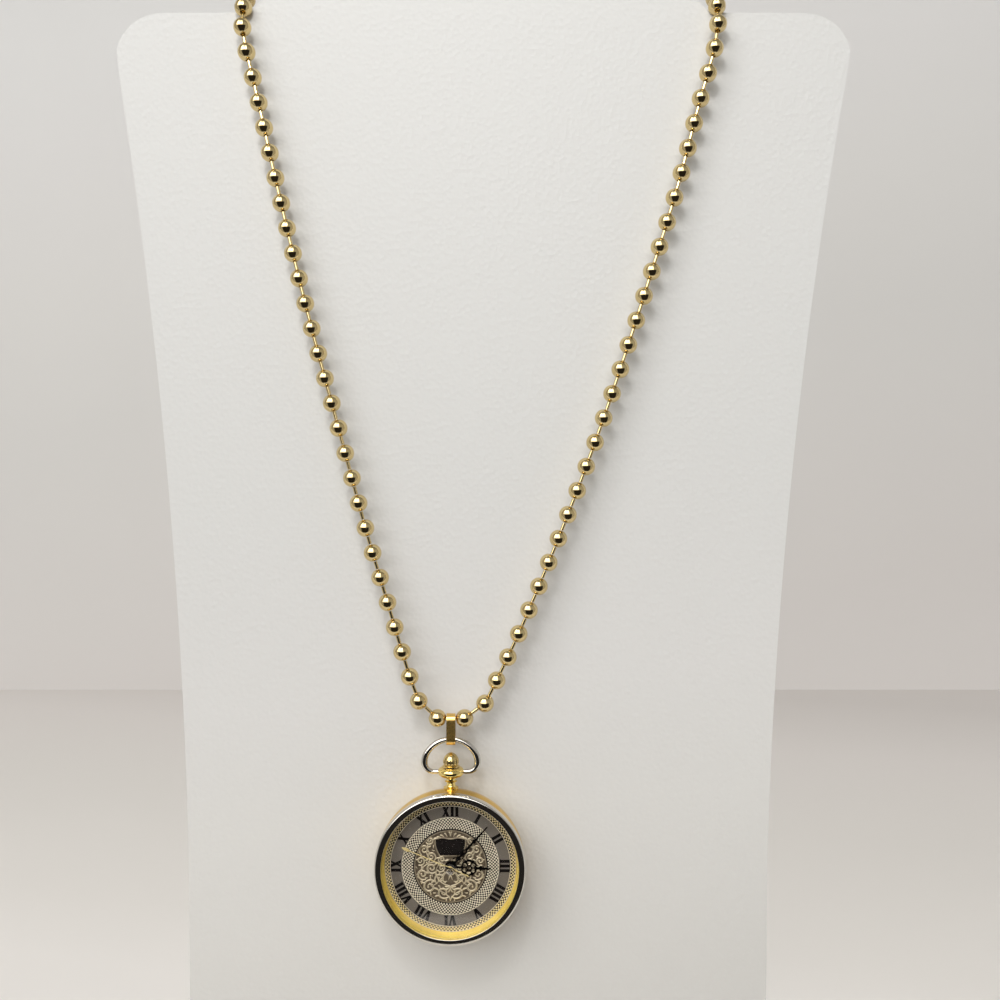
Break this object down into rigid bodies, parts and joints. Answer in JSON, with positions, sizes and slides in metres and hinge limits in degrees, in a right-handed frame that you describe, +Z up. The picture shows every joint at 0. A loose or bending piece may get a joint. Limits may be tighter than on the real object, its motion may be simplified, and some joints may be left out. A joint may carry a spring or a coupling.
{
  "type": "pendant watch",
  "caption": "Round pendant watch with roman dial, onion crown and swinging bow, hung by a bail from a ball-chain necklace, with a hand-wound movement inside.",
  "frame": {"origin": "middle of the necklace's coupling sleeve at the nape of the neck", "axes": "+Z up as it hangs on the wearer, -Y the way the dial faces, +X to the right as the dial is read"},
  "size_m": [0.1157, 0.1102, 0.275],
  "materials": {
    "champagne_plate": "polished champagne gold plating",
    "gold_plate": "polished yellow gold plating",
    "silver_plate": "polished silver plating",
    "crystal_glass": "clear polished crystal",
    "dial_silver": "satin silver-champagne dial with black printing",
    "black_metal": "black lacquered hands",
    "nylon": "moulded grey nylon",
    "rubber": "black seal rubber",
    "nickel_plate": "satin nickel-plated brass",
    "gilt_brass": "gilt brass wheels",
    "steel": "polished steel",
    "blued_steel": "blued spring steel",
    "ruby": "polished synthetic ruby"
  },
  "bodies": {
    "neck_chain": {"chain_neck_balls": "champagne_plate", "chain_neck_links": "champagne_plate", "chain_connector": "champagne_plate"},
    "front_chain": {"chain_front_balls": "champagne_plate", "chain_front_links": "champagne_plate"},
    "bail": {"bail": "gold_plate"},
    "bow": {"bow": "silver_plate"},
    "case": {"case_middle": "gold_plate", "pendant_tube": "gold_plate", "pendant_head": "gold_plate", "bezel": "silver_plate", "crystal": "crystal_glass", "crystal_gasket": "nylon", "rehaut_ring": "gold_plate", "case_back": "gold_plate", "case_back_gasket": "rubber", "crown_gasket": "rubber", "dial": "dial_silver", "dial_medallion": "dial_silver", "movement_ring": "nylon", "movement_clamps": "steel", "clamp_screws": "steel", "main_plate": "nickel_plate", "barrel_bridge": "nickel_plate", "train_bridge": "nickel_plate", "balance_cock": "nickel_plate", "pallet_bridge": "nickel_plate", "bridge_screws": "steel", "jewels": "ruby", "crown_wheel_screw": "steel", "click_screw": "steel", "click_spring": "steel", "hairspring": "blued_steel"},
    "winding_pinion": {"winding_pinion": "steel"},
    "crown": {"crown": "gold_plate", "winding_stem": "steel"},
    "sliding_pinion": {"sliding_pinion": "steel"},
    "setting_lever": {"setting_lever": "steel"},
    "yoke": {"yoke": "steel"},
    "crown_wheel": {"crown_wheel": "steel"},
    "ratchet": {"ratchet_wheel": "steel", "barrel_arbor": "steel", "ratchet_screw": "steel"},
    "click": {"click": "steel"},
    "barrel": {"mainspring_barrel": "gilt_brass", "barrel_cover": "gilt_brass", "mainspring": "steel"},
    "centre_wheel": {"centre_wheel": "gilt_brass", "cannon_pinion": "steel", "minute_hand": "black_metal"},
    "third_wheel": {"third_wheel": "gilt_brass"},
    "fourth_wheel": {"fourth_wheel": "gilt_brass", "seconds_hand": "gold_plate"},
    "escape_wheel": {"escape_wheel": "steel"},
    "pallet_fork": {"pallet_fork": "steel"},
    "balance": {"balance_wheel": "gilt_brass"},
    "minute_wheel": {"minute_wheel": "gilt_brass"},
    "hour_wheel": {"hour_wheel": "gilt_brass", "hour_hand": "black_metal"},
    "setting_wheel": {"setting_wheel": "steel"}
  },
  "joints": [
    {"name": "front_chain_swing", "type": "hinge", "parent": "neck_chain", "child": "front_chain", "pos_m": [-0.0538, -0.10156, -0.06693], "axis": [-1, -0.0001, -0.0075], "range_deg": [0, 45]},
    {"name": "bail_swing", "type": "hinge", "parent": "front_chain", "child": "bail", "pos_m": [-0.0064, -0.102, -0.22265], "axis": [1, 0, 0], "range_deg": [-45, 45]},
    {"name": "bow_swing", "type": "hinge", "parent": "bail", "child": "bow", "pos_m": [-0.0064, -0.102, -0.22745], "axis": [1, 0, 0], "range_deg": [-30, 30]},
    {"name": "case_swing", "type": "hinge", "parent": "bow", "child": "case", "pos_m": [-0.0064, -0.102, -0.23485], "axis": [1, 0, 0], "range_deg": [-80, 80]},
    {"name": "crown_turn", "type": "hinge", "parent": "case", "child": "winding_pinion", "pos_m": [-0.0064, -0.102, -0.2464], "axis": [0, 0, 1], "continuous": true},
    {"name": "crown_pull", "type": "slide", "parent": "winding_pinion", "child": "crown", "axis": [0, 0, 1], "range_m": [0, 0.0006]},
    {"name": "sliding_pinion_shift", "type": "slide", "parent": "winding_pinion", "child": "sliding_pinion", "axis": [0, 0, -1], "range_m": [0, 0.001]},
    {"name": "setting_lever_turn", "type": "hinge", "parent": "case", "child": "setting_lever", "pos_m": [-0.0042, -0.102, -0.24352], "axis": [0, 1, 0], "range_deg": [0, 15.6]},
    {"name": "yoke_turn", "type": "hinge", "parent": "case", "child": "yoke", "pos_m": [-0.0096, -0.102, -0.2463], "axis": [0, 1, 0], "range_deg": [0, 17.8]},
    {"name": "crown_wheel_turn", "type": "hinge", "parent": "case", "child": "crown_wheel", "pos_m": [-0.0064, -0.102, -0.2464], "axis": [0, 1, 0], "continuous": true},
    {"name": "ratchet_turn", "type": "hinge", "parent": "case", "child": "ratchet", "pos_m": [-0.01006, -0.102, -0.25145], "axis": [0, 1, 0], "continuous": true},
    {"name": "click_lift", "type": "hinge", "parent": "case", "child": "click", "pos_m": [-0.01532, -0.102, -0.25336], "axis": [0, 1, 0], "range_deg": [0, 8], "stiffness_Nm_per_rad": 0.0001, "springref_deg": -11.46, "deforming": ["click_spring"]},
    {"name": "seconds_run", "type": "hinge", "parent": "case", "child": "fourth_wheel", "pos_m": [-0.0064, -0.102, -0.2555], "axis": [0, 1, 0], "continuous": true},
    {"name": "third_wheel_run", "type": "hinge", "parent": "case", "child": "third_wheel", "pos_m": [-0.00314, -0.102, -0.25398], "axis": [0, 1, 0], "continuous": true},
    {"name": "minutes_run", "type": "hinge", "parent": "case", "child": "centre_wheel", "pos_m": [-0.0064, -0.102, -0.2555], "axis": [0, 1, 0], "continuous": true},
    {"name": "barrel_run", "type": "hinge", "parent": "case", "child": "barrel", "pos_m": [-0.01006, -0.102, -0.25145], "axis": [0, 1, 0], "continuous": true, "deforming": ["mainspring"]},
    {"name": "escape_wheel_run", "type": "hinge", "parent": "case", "child": "escape_wheel", "pos_m": [-0.00375, -0.102, -0.25773], "axis": [0, 1, 0], "continuous": true},
    {"name": "minute_wheel_run", "type": "hinge", "parent": "case", "child": "minute_wheel", "pos_m": [-0.0064, -0.102, -0.25262], "axis": [0, 1, 0], "continuous": true},
    {"name": "hours_run", "type": "hinge", "parent": "case", "child": "hour_wheel", "pos_m": [-0.0064, -0.102, -0.2555], "axis": [0, 1, 0], "continuous": true},
    {"name": "setting_wheel_run", "type": "hinge", "parent": "case", "child": "setting_wheel", "pos_m": [-0.0064, -0.102, -0.24902], "axis": [0, 1, 0], "continuous": true},
    {"name": "balance_swing", "type": "hinge", "parent": "case", "child": "balance", "pos_m": [-0.0045, -0.102, -0.26348], "axis": [0, 1, 0], "range_deg": [-135, 135], "stiffness_Nm_per_rad": 0.0000001, "deforming": ["hairspring"]},
    {"name": "pallet_fork_rock", "type": "hinge", "parent": "case", "child": "pallet_fork", "pos_m": [-0.00412, -0.102, -0.2606], "axis": [0, 1, 0], "range_deg": [-5, 5]}
  ],
  "couplings": [
    {"joint": "sliding_pinion_shift", "follows": "crown_pull", "ratio": 1.6666},
    {"joint": "setting_lever_turn", "follows": "crown_pull", "rad_per_m": 451.7},
    {"joint": "yoke_turn", "follows": "crown_pull", "rad_per_m": 516.6},
    {"joint": "crown_wheel_turn", "follows": "crown_turn", "ratio": -0.88889},
    {"joint": "ratchet_turn", "follows": "crown_turn", "ratio": 0.55556},
    {"joint": "third_wheel_run", "follows": "seconds_run", "ratio": -0.13333},
    {"joint": "minutes_run", "follows": "seconds_run", "ratio": 0.016667},
    {"joint": "barrel_run", "follows": "seconds_run", "ratio": -0.0027778},
    {"joint": "escape_wheel_run", "follows": "seconds_run", "ratio": -10},
    {"joint": "minute_wheel_run", "follows": "seconds_run", "ratio": -0.0055556},
    {"joint": "hours_run", "follows": "seconds_run", "ratio": 0.0013889},
    {"joint": "setting_wheel_run", "follows": "seconds_run", "ratio": 0.0083333},
    {"joint": "pallet_fork_rock", "follows": "balance_swing", "ratio": -0.037}
  ]
}
